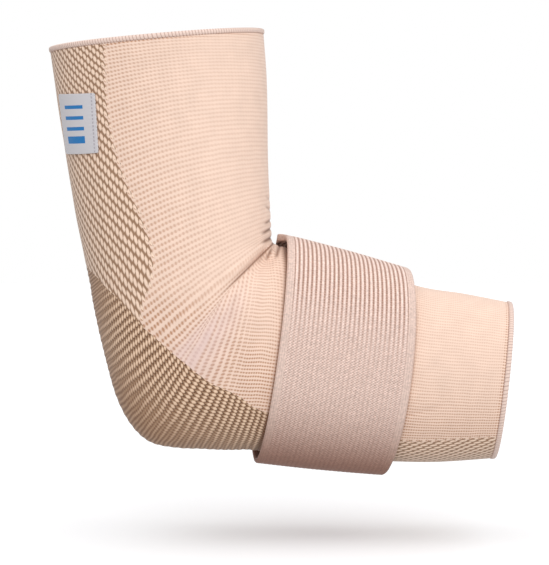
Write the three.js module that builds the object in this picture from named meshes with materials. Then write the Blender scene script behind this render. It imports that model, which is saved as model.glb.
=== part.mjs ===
// An elastic elbow brace: a knitted tube bent at the elbow, a sewn rim at each end, a webbing
// strap wound round the forearm over a hook patch, and a label on the back of the upper arm.
// Millimetres. +Z is up, +X runs towards the wrist, and -Y is the side with the label.
// The origin is the centre of the elbow, where the axes of the upper arm and the forearm meet.
import * as THREE from 'three';

// The bend
const upperLean = 6.3; // the upper-arm axis leans back from vertical, degrees
const foreDrop = 8.5; // the forearm axis drops below level, degrees
const upperLength = 130.3; // elbow centre to the top rim
const foreLength = 139.8; // elbow centre to the wrist rim
const creaseReach = 56.4; // elbow centre to the pivot of the elbow sections
const creaseSkew = 3.2; // the pivot lies this far above the line that halves the bend, degrees
const creaseRadius = 2.2; // how far the knit stays from the pivot
const elbowShear = 7.6; // the first elbow section leans this far past square, degrees
const elbowReach = 105; // pivot to the tip of the elbow

// The tube's outer sizes: width in the plane of the bend, depth across it
const topWidth = 93.8;
const topDepth = 79;
const topTilt = -0.7; // the top rim against square to its axis, degrees
const elbowDepth = 76;
const wristWidth = 68.5;
const wristDepth = 58;
const wristTilt = 2.3; // the wrist rim against square to its axis, degrees
const squareness = 2.2; // 2 is an ellipse, more is squarer
const wall = 2; // thickness of the knit

// Folds at the inner elbow
const creaseDepth = 6.5;
const creaseLength = 34;
const creaseWidth = 4.4;
const creaseRise = 5; // folds reach their full depth this far from the pivot
const foldCore = 13; // folds keep the spacing that they have this far from the pivot

// Rims
const rimHeight = 2.4;
const rimLip = 0.5; // how far a rim stands proud of both faces of the knit
const seamGap = 0.3; // between pieces that touch

// Strap
const strapStart = 36; // elbow centre to the strap's elbow-side edge, along the forearm
const strapWidth = 56;
const strapThickness = 2.2;
const strapLift = 4.2; // the most that the strap stands off the knit, at the top of the wrist-side edge
const strapSkew = 5.6; // its wrist-side edge bows this far towards the wrist on the label side
const strapTilt = 0.5; // its elbow-side edge lies this far over the elbow at the top
const strapSweep = 5; // just past the top, on the far side, it lies this much further over the elbow
const strapSweepTurn = 20; // degrees past the top at which it lies that far
const strapChamfer = 0.7;
const lapFrom = 235; // the strap's inner end, degrees round from the inner elbow line
const lapTurn = 60; // how far the outer end laps over the inner end, degrees
const lapRamp = 34; // over how many degrees it climbs on to the hook patch
const hookThickness = 1.2;
const hookMargin = 5; // from the hook patch to the strap's edges
const hookInset = 5; // from the hook patch to each end of the lap, degrees
const hookChamfer = 0.3;

// Label
const labelWidth = 17.5;
const labelHeight = 24.5;
const labelDrop = 20.7; // top rim to the label
const labelInset = 21.5; // back of the arm to the label, round the tube
const labelTurn = 5; // degrees that its foot is turned towards the back of the arm
const labelThickness = 0.8;
const labelCorner = 0.25;

// The upper arm from the elbow (0) to the rim (1): bulges are shares of the top width
const upperRows = [
  { at: 0, front: 0, back: 0, depth: 1 },
  { at: 0.35, front: -0.003, back: 0.011, depth: 0.985 },
  { at: 0.75, front: 0.007, back: 0.007, depth: 0.985 },
  { at: 1, front: 0, back: 0, depth: 1 },
];
// The elbow from the upper arm (0) to the forearm (1): shares of the elbow reach and depth;
// point narrows the section towards the tip of the elbow
const elbowRows = [
  { at: 0, reach: 0.804, depth: 1, point: 0 },
  { at: 0.17, reach: 0.831, depth: 1, point: 0.03 },
  { at: 0.33, reach: 0.883, depth: 0.995, point: 0.07 },
  { at: 0.5, reach: 0.965, depth: 0.985, point: 0.12 },
  { at: 0.59, reach: 0.996, depth: 0.98, point: 0.14 },
  { at: 0.66, reach: 1, depth: 0.97, point: 0.13 },
  { at: 0.75, reach: 0.968, depth: 0.96, point: 0.1 },
  { at: 0.84, reach: 0.931, depth: 0.945, point: 0.06 },
  { at: 1, reach: 0.89, depth: 0.93, point: 0 },
];
// The forearm from the elbow (0) to the rim (1): bulges are shares of the wrist width
const foreRows = [
  { at: 0, front: 0, back: 0, depth: 1 },
  { at: 0.3, front: -0.015, back: 0.03, depth: 0.99 },
  { at: 0.62, front: -0.04, back: 0.046, depth: 0.975 },
  { at: 0.8, front: -0.016, back: 0.036, depth: 0.985 },
  { at: 1, front: 0, back: 0, depth: 1 },
];
// Folds that fan out from the inner elbow: where they lie between the two arms, and shares of
// the crease's depth, length and width, with the width on the upper-arm and the forearm side
const folds = [
  { turn: 0.44, depth: 1, length: 1, above: 0.6, below: 1.7 },
  { turn: 0.22, depth: 0.1, length: 0.9, above: 0.5, below: 0.5 },
  { turn: 0.63, depth: 0.2, length: 1.25, above: 0.5, below: 0.5 },
  { turn: 0.77, depth: 0.16, length: 1.35, above: 0.5, below: 0.5 },
  { turn: 0.91, depth: 0.14, length: 1.2, above: 0.5, below: 0.5 },
];
// The strap's two edges: shares of its lift at the top and the bottom, of its skew on the label
// side and on the far side, and of its tilt
const strapRows = [
  { at: 0, top: 0.76, bottom: 0.7, near: 0.66, far: 0.75, tilt: 1 },
  { at: 1, top: 1, bottom: 0.9, near: 1, far: 0.8, tilt: 0 },
];

// How finely the tube is cut into faces
const around = 40;
const upperSteps = 8;
const elbowSteps = 26;
const foreSteps = 9;
const strapStep = 7.5; // degrees

const radians = THREE.MathUtils.degToRad;
const lerp = THREE.MathUtils.lerp;
const fullTurn = 2 * Math.PI;
const heading = (degrees) => new THREE.Vector2(Math.cos(radians(degrees)), Math.sin(radians(degrees)));

// Reads a table's column at a place between its rows, on a smooth curve through them.
function read(rows, column, at) {
  const last = rows.length - 2;
  let i = 0;
  while (i < last && rows[i + 1].at < at) i += 1;
  const slope = (j) => {
    const before = rows[Math.max(j - 1, 0)];
    const after = rows[Math.min(j + 1, rows.length - 1)];
    return (after[column] - before[column]) / (after.at - before.at);
  };
  const span = rows[i + 1].at - rows[i].at;
  const t = THREE.MathUtils.clamp((at - rows[i].at) / span, 0, 1);
  const [a, b] = [rows[i][column], rows[i + 1][column]];
  return (
    (2 * t ** 3 - 3 * t ** 2 + 1) * a +
    (t ** 3 - 2 * t ** 2 + t) * span * slope(i) +
    (3 * t ** 2 - 2 * t ** 3) * b +
    (t ** 3 - t ** 2) * span * slope(i + 1)
  );
}

// The axes and the end sections, in the plane of the bend (x, z)
const upperAxis = heading(90 + upperLean);
const foreAxis = heading(-foreDrop);
const pivot = heading((90 + upperLean - foreDrop) / 2 + creaseSkew).multiplyScalar(creaseReach);
const elbowFrom = 180 + upperLean + elbowShear; // heading from the pivot of the first elbow section
const elbowTo = 270 - foreDrop;

function endSection(axis, length, width, square) {
  const middle = axis.clone().multiplyScalar(length);
  const half = heading(square).multiplyScalar(width / 2);
  return { front: middle.clone().add(half), back: middle.clone().sub(half) };
}
const topSection = endSection(upperAxis, upperLength, topWidth, upperLean + topTilt);
const wristSection = endSection(foreAxis, foreLength, wristWidth, 90 - foreDrop + wristTilt);

function elbowSection(turn) {
  const outwards = heading(lerp(elbowFrom, elbowTo, turn));
  return {
    front: pivot.clone().addScaledVector(outwards, creaseRadius),
    back: pivot.clone().addScaledVector(outwards, read(elbowRows, 'reach', turn) * elbowReach),
    depth: read(elbowRows, 'depth', turn) * elbowDepth,
    point: read(elbowRows, 'point', turn),
  };
}

// A section between the elbow and a rim: straight from one to the other, with the table's bulges.
function armSection(from, to, rows, width, depthTo, at) {
  const front = from.front.clone().lerp(to.front, at);
  const back = from.back.clone().lerp(to.back, at);
  const across = front.clone().sub(back).normalize();
  return {
    front: front.addScaledVector(across, read(rows, 'front', at) * width),
    back: back.addScaledVector(across, -read(rows, 'back', at) * width),
    depth: lerp(from.depth, depthTo, at) * read(rows, 'depth', at),
    point: 0,
  };
}

// The tube's section at a station: 0 at the top rim, 1 and 2 at the ends of the elbow, 3 at the wrist rim.
function sectionAt(station) {
  if (station < 1) return armSection(elbowSection(0), topSection, upperRows, topWidth, topDepth, 1 - station);
  if (station <= 2) return elbowSection(station - 1);
  return armSection(elbowSection(1), wristSection, foreRows, wristWidth, wristDepth, station - 2);
}

const middleOf = (section) => section.front.clone().add(section.back).multiplyScalar(0.5);
const upperArm = middleOf(topSection).distanceTo(middleOf(elbowSection(0))); // length of the upper part
const foreArm = middleOf(wristSection).distanceTo(middleOf(elbowSection(1)));
const foreStart = foreLength - foreArm; // elbow centre to the first forearm section

// How deep the folds press the knit in at a place given by its distance and heading from the pivot.
function foldDepth(reach, degrees) {
  let depth = 0;
  for (const fold of folds) {
    const away = radians(degrees - lerp(elbowFrom, elbowTo, fold.turn));
    const aside = Math.hypot(reach, foldCore) * Math.sin(THREE.MathUtils.clamp(away, -1.5, 1.5));
    const width = creaseWidth * (aside < 0 ? fold.above : fold.below);
    const length = creaseLength * fold.length;
    const fade = 1 - THREE.MathUtils.smoothstep(reach, 0.25 * length, 1.15 * length);
    depth += creaseDepth * fold.depth * fade * Math.exp(-((aside / width) ** 2));
  }
  return depth * THREE.MathUtils.smoothstep(reach, creaseRadius, creaseRadius + creaseRise);
}

// A point of the tube at a station, an angle round from the inner elbow line towards the label
// side, and a depth inside the outer face (negative is outside it).
function tubePoint(station, angle, inset) {
  const section = sectionAt(station);
  const across = section.front.clone().sub(section.back);
  const half = across.length() / 2;
  across.normalize();
  const bend = (x) => Math.sign(x) * Math.abs(x) ** (2 / squareness);
  const [u, v] = [bend(Math.cos(angle)), bend(Math.sin(angle))];
  const narrow = 1 + section.point * u;
  const halfDepth = (section.depth / 2) * narrow;
  // The section's outward normal
  const normal = new THREE.Vector2(
    Math.sign(u) * Math.abs(u) ** (squareness - 1) / half,
    Math.sign(v) * Math.abs(v) ** (squareness - 1) / halfDepth,
  ).normalize();
  const flat = middleOf(section).addScaledVector(across, u * half);
  const fromPivot = flat.clone().sub(pivot);
  const degrees = THREE.MathUtils.euclideanModulo(THREE.MathUtils.radToDeg(fromPivot.angle()), 360);
  const fold = foldDepth(Math.max(fromPivot.length(), creaseRadius), degrees);
  const sunk = inset + fold;
  const place = flat.addScaledVector(across, -normal.x * sunk);
  return new THREE.Vector3(place.x, -(v * halfDepth - normal.y * sunk), place.y);
}

// Joins rings of points into a closed solid. A loop joins its last ring to its first, and
// otherwise the first and last rings are closed by flat ends.
function loft(rings, loop) {
  const count = rings[0].length;
  const points = rings.flat();
  const faces = [];
  const joins = loop ? rings.length : rings.length - 1;
  for (let i = 0; i < joins; i += 1) {
    const [a, b] = [i * count, ((i + 1) % rings.length) * count];
    for (let j = 0; j < count; j += 1) {
      const k = (j + 1) % count;
      faces.push(a + j, b + j, b + k, a + j, b + k, a + k);
    }
  }
  if (!loop) {
    for (const [start, forwards] of [[0, true], [(rings.length - 1) * count, false]]) {
      for (let j = 1; j < count - 1; j += 1) {
        faces.push(start, start + (forwards ? j : j + 1), start + (forwards ? j + 1 : j));
      }
    }
  }
  const geometry = new THREE.BufferGeometry().setFromPoints(points);
  geometry.setIndex(faces);
  geometry.computeVertexNormals();
  return geometry;
}

const angles = (count) => Array.from({ length: count }, (_, i) => (i / count) * fullTurn);
const steps = (from, to, count) => Array.from({ length: count + 1 }, (_, i) => lerp(from, to, i / count));

// Stations where the knit stops under each rim
const rimRoom = rimHeight + seamGap;
const knitTop = rimRoom / upperArm;
const knitWrist = 3 - rimRoom / foreArm;

// The knitted tube, open at both ends.
function sleeve() {
  const stations = [
    ...steps(knitTop, 1, upperSteps),
    ...steps(1, 2, elbowSteps).slice(1),
    ...steps(2, knitWrist, foreSteps).slice(1),
  ];
  const ring = (inset) => (station) => angles(around).map((angle) => tubePoint(station, angle, inset));
  const outside = stations.map(ring(0)).reverse();
  const inside = stations.map(ring(wall));
  return loft([...inside, ...outside], true);
}

// A rim round an open end. toStation turns a distance from the end into a station.
function rim(toStation, isTop) {
  const [low, high] = [-rimLip, wall + rimLip];
  const round = 0.8 * rimLip + 0.4;
  const profile = [
    [low, round],
    [low + round, 0],
    [high - round, 0],
    [high, round],
    [high, rimHeight - round],
    [high - rimLip, rimHeight],
    [low + rimLip, rimHeight],
    [low, rimHeight - round],
  ];
  const rings = angles(around).map((angle) =>
    profile.map(([inset, down]) => tubePoint(toStation(down), angle, inset)),
  );
  return loft(isTop ? rings.reverse() : rings, true);
}

// A point of the strap: across its width (0 at the elbow side), round the forearm in degrees,
// and out from its inner face.
const lapRise = strapThickness + hookThickness + 2 * seamGap;
function strapPoint(across, degrees, out) {
  const angle = radians(degrees);
  const [up, side] = [Math.cos(angle), Math.sin(angle)];
  const row = (column) => lerp(strapRows[0][column], strapRows[1][column], across);
  const bow = strapSkew * side * row(side > 0 ? 'near' : 'far');
  const past = THREE.MathUtils.smoothstep(-side, 0, Math.sin(radians(strapSweepTurn)));
  const sweep = strapSweep * past * (1 + up) / 2;
  const along = strapStart + across * strapWidth + bow - sweep - strapTilt * row('tilt') * up;
  const station = 2 + (along - foreStart) / foreArm;
  const lift = strapLift * up ** 2 * row(up > 0 ? 'top' : 'bottom');
  const climb = THREE.MathUtils.smoothstep(degrees, lapFrom + 360 - lapRamp, lapFrom + 360 - 2);
  return tubePoint(station, angle, -(seamGap + lift + lapRise * climb + out));
}

// A band that lies in the strap's windings, given by its width, its thickness and the turn it covers.
function band({ low, high, bottom, top, from, to, chamfer }) {
  const bevel = chamfer / strapWidth;
  const thick = top - bottom;
  const inner = bottom + thick * 0.3;
  const outer = top - thick * 0.3;
  const profile = [
    [low, inner],
    [low, outer],
    [low + bevel, top],
    [lerp(low, high, 1 / 3), top],
    [lerp(low, high, 2 / 3), top],
    [high - bevel, top],
    [high, outer],
    [high, inner],
    [high - bevel, bottom],
    [lerp(low, high, 2 / 3), bottom],
    [lerp(low, high, 1 / 3), bottom],
    [low + bevel, bottom],
  ];
  const turns = steps(from, to, Math.ceil((to - from) / strapStep));
  return loft(turns.map((degrees) => profile.map(([across, out]) => strapPoint(across, degrees, out))), false);
}

function strap() {
  const to = lapFrom + 360 + lapTurn;
  return band({ low: 0, high: 1, bottom: 0, top: strapThickness, from: lapFrom, to, chamfer: strapChamfer });
}

// The hook patch between the strap's two lapped ends.
function hookPatch() {
  const margin = hookMargin / strapWidth;
  return band({
    low: margin,
    high: 1 - margin,
    bottom: strapThickness + seamGap,
    top: strapThickness + seamGap + hookThickness,
    from: lapFrom + hookInset,
    to: lapFrom + lapTurn - hookInset,
    chamfer: hookChamfer,
  });
}

// The angle that lies a given way round the tube from the back of the arm, towards the label side.
function angleAt(station, distance) {
  const fine = radians(0.5);
  let [angle, gone] = [Math.PI, 0];
  while (gone < distance && angle > 0) {
    gone += tubePoint(station, angle, 0).distanceTo(tubePoint(station, angle - fine, 0));
    angle -= fine;
  }
  return angle;
}

// The label, curved to the knit that it is sewn to.
function label() {
  const toStation = (down) => down / upperArm;
  const middle = labelDrop + labelHeight / 2;
  const [cos, sin] = [Math.cos(radians(labelTurn)), Math.sin(radians(labelTurn))];
  const bottom = seamGap;
  const top = seamGap + labelThickness;
  const profile = [
    [0, bottom],
    [0, top - labelCorner],
    [labelCorner, top],
    [labelHeight / 2, top],
    [labelHeight - labelCorner, top],
    [labelHeight, top - labelCorner],
    [labelHeight, bottom],
    [labelHeight / 2, bottom],
  ];
  const ring = (aside) =>
    profile.map(([down, out]) => {
      const below = down - labelHeight / 2;
      const distance = labelInset + labelWidth / 2 + aside * cos - below * sin;
      const station = toStation(middle + below * cos + aside * sin);
      return tubePoint(station, angleAt(toStation(middle), distance), -out);
    }).reverse();
  return loft(steps(-labelWidth / 2, labelWidth / 2, 6).map(ring), false);
}

const brace = new THREE.Group();

function add(name, geometry, colour, roughness) {
  const material = new THREE.MeshStandardMaterial({ color: colour, roughness, metalness: 0 });
  const mesh = new THREE.Mesh(geometry, material);
  mesh.name = name;
  brace.add(mesh);
}

add('sleeve', sleeve(), '#e9c8b0', 0.85);
add('top_rim', rim((down) => down / upperArm, true), '#d9bfb2', 0.8);
add('wrist_rim', rim((down) => 3 - down / foreArm, false), '#d9bfb2', 0.8);
add('strap', strap(), '#c9a596', 0.75);
add('hook_patch', hookPatch(), '#b8968a', 0.9);
add('label', label(), '#eceff2', 0.45);

export default brace;
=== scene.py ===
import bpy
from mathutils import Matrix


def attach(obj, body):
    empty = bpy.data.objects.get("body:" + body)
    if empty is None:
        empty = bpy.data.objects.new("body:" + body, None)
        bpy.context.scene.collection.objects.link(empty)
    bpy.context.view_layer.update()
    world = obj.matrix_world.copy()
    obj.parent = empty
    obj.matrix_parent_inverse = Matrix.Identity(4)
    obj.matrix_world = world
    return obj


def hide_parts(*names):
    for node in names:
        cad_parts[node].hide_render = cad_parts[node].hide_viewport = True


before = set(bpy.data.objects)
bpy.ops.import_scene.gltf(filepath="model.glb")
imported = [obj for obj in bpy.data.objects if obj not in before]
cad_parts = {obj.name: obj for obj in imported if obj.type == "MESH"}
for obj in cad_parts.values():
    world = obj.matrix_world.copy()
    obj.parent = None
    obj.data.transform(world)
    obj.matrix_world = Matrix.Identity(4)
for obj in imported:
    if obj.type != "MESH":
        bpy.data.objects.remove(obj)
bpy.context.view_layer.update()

import math

import bpy
import numpy as np
from mathutils import Vector

bpy.ops.object.select_all(action="DESELECT")
scene = bpy.context.scene
mm = 0.001

# Camera: side on and just above level, as in the photo
cameraSet = {"elevation": 2.0, "distance": 1150, "aim": (37.4, 0, 22.4), "frameHeight": 248.6, "sensor": 36}
tilt = math.radians(cameraSet["elevation"])
lookAt = Vector(cameraSet["aim"]) * mm
ahead = Vector((0, math.cos(tilt), -math.sin(tilt)))
bpy.ops.object.camera_add(location=lookAt - ahead * cameraSet["distance"] * mm)
camera = bpy.context.object
camera.name = "camera"
camera.rotation_euler = ahead.to_track_quat("-Z", "Y").to_euler()
camera.data.sensor_width = cameraSet["sensor"]
camera.data.lens = cameraSet["sensor"] * cameraSet["distance"] / cameraSet["frameHeight"]
camera.data.clip_start = 0.05
camera.data.clip_end = 60
scene.camera = camera
print("camera made")

# The worn form, in millimetres and degrees: the sizes and tables of the solids, but with the top rim
# tilted 0.65 degrees more
form = {
    "upperLean": 6.3, "foreDrop": 8.5, "upperLength": 130.3, "foreLength": 139.8,
    "creaseReach": 56.4, "creaseSkew": 3.2, "creaseRadius": 2.2, "elbowShear": 7.6, "elbowReach": 105,
    "topWidth": 93.8, "topDepth": 79, "topTilt": -1.35, "elbowDepth": 76,
    "wristWidth": 68.5, "wristDepth": 58, "wristTilt": 2.3, "squareness": 2.2, "wall": 2,
    "creaseDepth": 6.5, "creaseLength": 34, "creaseWidth": 4.4, "creaseRise": 5, "foldCore": 13,
    "rimHeight": 2.4, "rimLip": 0.5, "seamGap": 0.3,
}
upperRows = {
    "at": [0, 0.35, 0.75, 1], "front": [0, -0.003, 0.007, 0], "back": [0, 0.011, 0.007, 0],
    "depth": [1, 0.985, 0.985, 1],
}
elbowRows = {
    "at": [0, 0.17, 0.33, 0.5, 0.59, 0.66, 0.75, 0.84, 1],
    "reach": [0.804, 0.831, 0.883, 0.965, 0.996, 1, 0.968, 0.931, 0.89],
    "depth": [1, 1, 0.995, 0.985, 0.98, 0.97, 0.96, 0.945, 0.93],
    "point": [0, 0.03, 0.07, 0.12, 0.14, 0.13, 0.1, 0.06, 0],
}
foreRows = {
    "at": [0, 0.3, 0.62, 0.8, 1], "front": [0, -0.015, -0.04, -0.016, 0],
    "back": [0, 0.03, 0.046, 0.036, 0], "depth": [1, 0.99, 0.975, 0.985, 1],
}
foldRows = {
    "turn": [0.44, 0.22, 0.63, 0.77, 0.91], "depth": [1, 0.1, 0.2, 0.16, 0.14],
    "length": [1, 0.9, 1.25, 1.35, 1.2], "above": [0.42, 0.5, 0.5, 0.5, 0.5],
    "below": [1.7, 0.5, 0.5, 0.5, 0.5],
}


def readRows(rows, column, at):
    # a table's column between its rows, on a smooth curve through them
    x, y = np.array(rows["at"], float), np.array(rows[column], float)
    before, after = np.maximum(np.arange(len(x)) - 1, 0), np.minimum(np.arange(len(x)) + 1, len(x) - 1)
    slope = (y[after] - y[before]) / (x[after] - x[before])
    at = np.asarray(at, float)
    i = np.clip(np.searchsorted(x, at) - 1, 0, len(x) - 2)
    span = x[i + 1] - x[i]
    t = np.clip((at - x[i]) / span, 0, 1)
    start = (2 * t**3 - 3 * t**2 + 1) * y[i] + (t**3 - 2 * t**2 + t) * span * slope[i]
    return start + (3 * t**2 - 2 * t**3) * y[i + 1] + (t**3 - t**2) * span * slope[i + 1]


def heading(degrees):
    return np.stack([np.cos(np.radians(degrees)), np.sin(np.radians(degrees))], -1)


def runAlong(points):
    # the way along a line of points, up to each of them
    return np.concatenate([[0], np.cumsum(np.linalg.norm(np.diff(points, axis=0), axis=1))])


def signedPower(x, power):
    return np.sign(x) * np.abs(x) ** power


def ease(x, low, high):
    t = np.clip((np.asarray(x, float) - low) / (high - low), 0, 1)
    return t * t * (3 - 2 * t)


upperAxis = heading(90 + form["upperLean"])
foreAxis = heading(-form["foreDrop"])
halfBend = (90 + form["upperLean"] - form["foreDrop"]) / 2
pivot = heading(halfBend + form["creaseSkew"]) * form["creaseReach"]
elbowFrom = 180 + form["upperLean"] + form["elbowShear"]
elbowTo = 270 - form["foreDrop"]


def endSection(axis, length, width, square):
    # a rim's two ends in the plane of the bend, front and back
    half = heading(square) * width / 2
    return axis * length + half, axis * length - half


topSquare = form["upperLean"] + form["topTilt"]
wristSquare = 90 - form["foreDrop"] + form["wristTilt"]
topSection = endSection(upperAxis, form["upperLength"], form["topWidth"], topSquare)
wristSection = endSection(foreAxis, form["foreLength"], form["wristWidth"], wristSquare)


def elbowSection(turn):
    # front, back, depth and pointedness of a section of the elbow, a share "turn" of the way round it
    turn = np.asarray(turn, float)
    outwards = heading(elbowFrom + (elbowTo - elbowFrom) * turn)
    reach = readRows(elbowRows, "reach", turn) * form["elbowReach"]
    front = pivot + outwards * form["creaseRadius"]
    depth = readRows(elbowRows, "depth", turn) * form["elbowDepth"]
    return front, pivot + outwards * reach[..., None], depth, readRows(elbowRows, "point", turn)


def armSection(turn, to, rows, width, depthTo, at):
    # the same for a section of the arm, a share "at" of the way from the elbow's end "turn" to the rim "to"
    fromFront, fromBack, fromDepth, _ = elbowSection(turn)
    t = at[..., None]
    front = fromFront + (to[0] - fromFront) * t
    back = fromBack + (to[1] - fromBack) * t
    across = (front - back) / np.linalg.norm(front - back, axis=-1, keepdims=True)
    front = front + across * (readRows(rows, "front", at) * width)[..., None]
    back = back - across * (readRows(rows, "back", at) * width)[..., None]
    return front, back, (fromDepth + (depthTo - fromDepth) * at) * readRows(rows, "depth", at), 0 * at


def sectionAt(station):
    # 0 is the top rim, 1 and 2 are the ends of the elbow, and 3 is the wrist rim
    above, turn, below = (np.clip(share, 0, 1) for share in (1 - station, station - 1, station - 2))
    upper = armSection(0, topSection, upperRows, form["topWidth"], form["topDepth"], above)
    middle = elbowSection(turn)
    fore = armSection(1, wristSection, foreRows, form["wristWidth"], form["wristDepth"], below)
    parts = []
    for u, m, f in zip(upper, middle, fore):
        at = station if u.ndim == station.ndim else station[..., None]
        parts.append(np.where(at < 1, u, np.where(at > 2, f, m)))
    return parts


def fromPivot(flat):
    # how far a point in the plane of the bend lies from the pivot, and its heading from there
    away = flat - pivot
    return np.linalg.norm(away, axis=-1), np.degrees(np.arctan2(away[..., 1], away[..., 0])) % 360


def foldDepth(reach, degrees):
    # how deep the folds of the inner elbow press the knit in, by the place of a point round the pivot
    reach = np.maximum(reach, form["creaseRadius"])
    depth = 0 * reach
    for i, turn in enumerate(foldRows["turn"]):
        away = np.radians(degrees - (elbowFrom + (elbowTo - elbowFrom) * turn))
        aside = np.hypot(reach, form["foldCore"]) * np.sin(np.clip(away, -1.5, 1.5))
        width = form["creaseWidth"] * np.where(aside < 0, foldRows["above"][i], foldRows["below"][i])
        length = form["creaseLength"] * foldRows["length"][i]
        fade = 1 - ease(reach, 0.25 * length, 1.15 * length)
        depth = depth + form["creaseDepth"] * foldRows["depth"][i] * fade * np.exp(-((aside / width) ** 2))
    return depth * ease(reach, form["creaseRadius"], form["creaseRadius"] + form["creaseRise"])


def tubePoint(station, angle, inset):
    # a point by its station, its angle round from the inner elbow line, and its depth inside the knit
    station, angle, inset = np.broadcast_arrays(*(np.asarray(v, float) for v in (station, angle, inset)))
    front, back, depth, point = sectionAt(station)
    across = front - back
    half = np.linalg.norm(across, axis=-1) / 2
    across = across / (2 * half[..., None])
    power = form["squareness"]
    u, v = signedPower(np.cos(angle), 2 / power), signedPower(np.sin(angle), 2 / power)
    halfDepth = depth / 2 * (1 + point * u)
    nx, ny = signedPower(u, power - 1) / half, signedPower(v, power - 1) / halfDepth
    nx, ny = nx / np.hypot(nx, ny), ny / np.hypot(nx, ny)
    flat = (front + back) / 2 + across * (u * half)[..., None]
    sunk = inset + foldDepth(*fromPivot(flat))
    place = flat - across * (nx * sunk)[..., None]
    return np.stack([place[..., 0], -(v * halfDepth - ny * sunk), place[..., 1]], -1)


def middleOf(section):
    return (section[0] + section[1]) / 2


upperArm = np.linalg.norm(middleOf(topSection) - middleOf(elbowSection(0)))
foreArm = np.linalg.norm(middleOf(wristSection) - middleOf(elbowSection(1)))
rimRoom = form["rimHeight"] + 0.05
knitTop = rimRoom / upperArm
knitWrist = 3 - rimRoom / foreArm


def linear(hexColour):
    # an sRGB hex value as Blender's linear colour
    parts = [int(hexColour[i : i + 2], 16) / 255 for i in (1, 3, 5)]
    return [*(c / 12.92 if c <= 0.04045 else ((c + 0.055) / 1.055) ** 2.4 for c in parts), 1]


def connect(tree, node, inputs):
    # a node's inputs, by name or in their order, from values, nodes or sockets
    byName = isinstance(inputs, dict)
    sockets = node.inputs if byName else [s for s in node.inputs if s.enabled]
    for key, value in inputs.items() if byName else enumerate(inputs):
        source = next(s for s in value.outputs if s.enabled) if isinstance(value, bpy.types.Node) else value
        if isinstance(source, bpy.types.NodeSocket):
            tree.links.new(source, sockets[key])
        else:
            sockets[key].default_value = source


def addNode(tree, kind, inputs=(), **settings):
    # one node with its settings and links
    node = tree.nodes.new("ShaderNode" + kind)
    for name, value in settings.items():
        setattr(node, name, value)
    connect(tree, node, inputs)
    return node


def perMetre(size):
    # the scale of a pattern whose size is in millimetres
    return 1 / (size * mm)


def newMaterial(name):
    material = bpy.data.materials.new(name)
    material.use_nodes = True
    tree = material.node_tree
    shader = tree.nodes["Principled BSDF"]
    return material, tree, shader


def meshPiece(name, points, faces, material, uvMaps, attributes=None):
    # a piece from points in millimetres, with UV maps by face corner and attributes by point
    mesh = bpy.data.meshes.new(name)
    count = len(points)
    mesh.vertices.add(count)
    mesh.vertices.foreach_set("co", (np.asarray(points) * mm).astype(np.float32).ravel())
    sizes = np.array([len(f) for f in faces])
    mesh.loops.add(int(sizes.sum()))
    mesh.loops.foreach_set("vertex_index", np.concatenate([np.asarray(f) for f in faces]).astype(np.int32))
    mesh.polygons.add(len(faces))
    mesh.polygons.foreach_set("loop_start", (np.cumsum(sizes) - sizes).astype(np.int32))
    mesh.update(calc_edges=True)
    for uvName, values in uvMaps.items():
        layer = mesh.uv_layers.new(name=uvName)
        layer.data.foreach_set("uv", values.astype(np.float32).ravel())
    for key, values in (attributes or {}).items():
        layer = mesh.attributes.new(key, "FLOAT", "POINT")
        layer.data.foreach_set("value", values.astype(np.float32).ravel())
    mesh.validate()
    mesh.shade_smooth()
    piece = bpy.data.objects.new(name, mesh)
    scene.collection.objects.link(piece)
    mesh.materials.append(material)
    return piece


def loftFaces(rows, columns, loopRows, capped):
    # quads between rings; the ring direction always closes
    joins = rows if loopRows else rows - 1
    i, j = np.meshgrid(np.arange(joins), np.arange(columns), indexing="ij")
    k, nextRow = (j + 1) % columns, (i + 1) % rows
    quads = np.stack([i * columns + j, nextRow * columns + j, nextRow * columns + k, i * columns + k], -1)
    corners = np.stack([np.stack([i, j], -1), np.stack([i + 1, j], -1), np.stack([i + 1, j + 1], -1),
                        np.stack([i, j + 1], -1)], -2)
    faces = list(quads.reshape(-1, 4))
    ends = []
    if capped:
        ends = [np.arange(columns), (rows - 1) * columns + np.arange(columns)[::-1]]
    return faces + ends, corners.reshape(-1, 2), [len(end) for end in ends]


def loftPiece(name, rings, loopRows, material, uvs, attributes=None):
    # uvs gives each map's values on the grid of rings, one more each way than the points
    rows, columns = rings.shape[:2]
    faces, corners, ends = loftFaces(rows, columns, loopRows, not loopRows)
    maps = {}
    for uvName, grid in uvs.items():
        values = grid[corners[:, 0], corners[:, 1]]
        spare = np.zeros((sum(ends), 2)) + grid.reshape(-1, 2)[0]
        maps[uvName] = np.concatenate([values, spare])
    return meshPiece(name, rings.reshape(-1, 3), faces, material, maps, attributes)


# Webbing strap, wound once round the forearm and lapped on the far side. On the far side of the inner
# elbow it sweeps 1.5 mm further over the elbow than the solid
strapSet = {
    "start": 36, "width": 56, "thickness": 2.2, "lift": 4.2, "skew": 5.6, "tilt": 0.5, "corner": 0.7,
    "sweep": 6.5, "sweepTurn": 20, "aboutGirth": 240,
    "lapFrom": 235, "lapTurn": 60, "lapRamp": 34, "hookThickness": 1.2, "hookMargin": 5, "hookInset": 5,
    "hookStep": 1.2, "hookPitch": (1.6, 1.6),
}
strapRows = {"top": (0.76, 1), "bottom": (0.7, 0.9), "near": (0.66, 1), "far": (0.75, 0.8), "tilt": (1, 0)}


def strapRow(name, across):
    first, last = strapRows[name]
    return first + (last - first) * across


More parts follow.
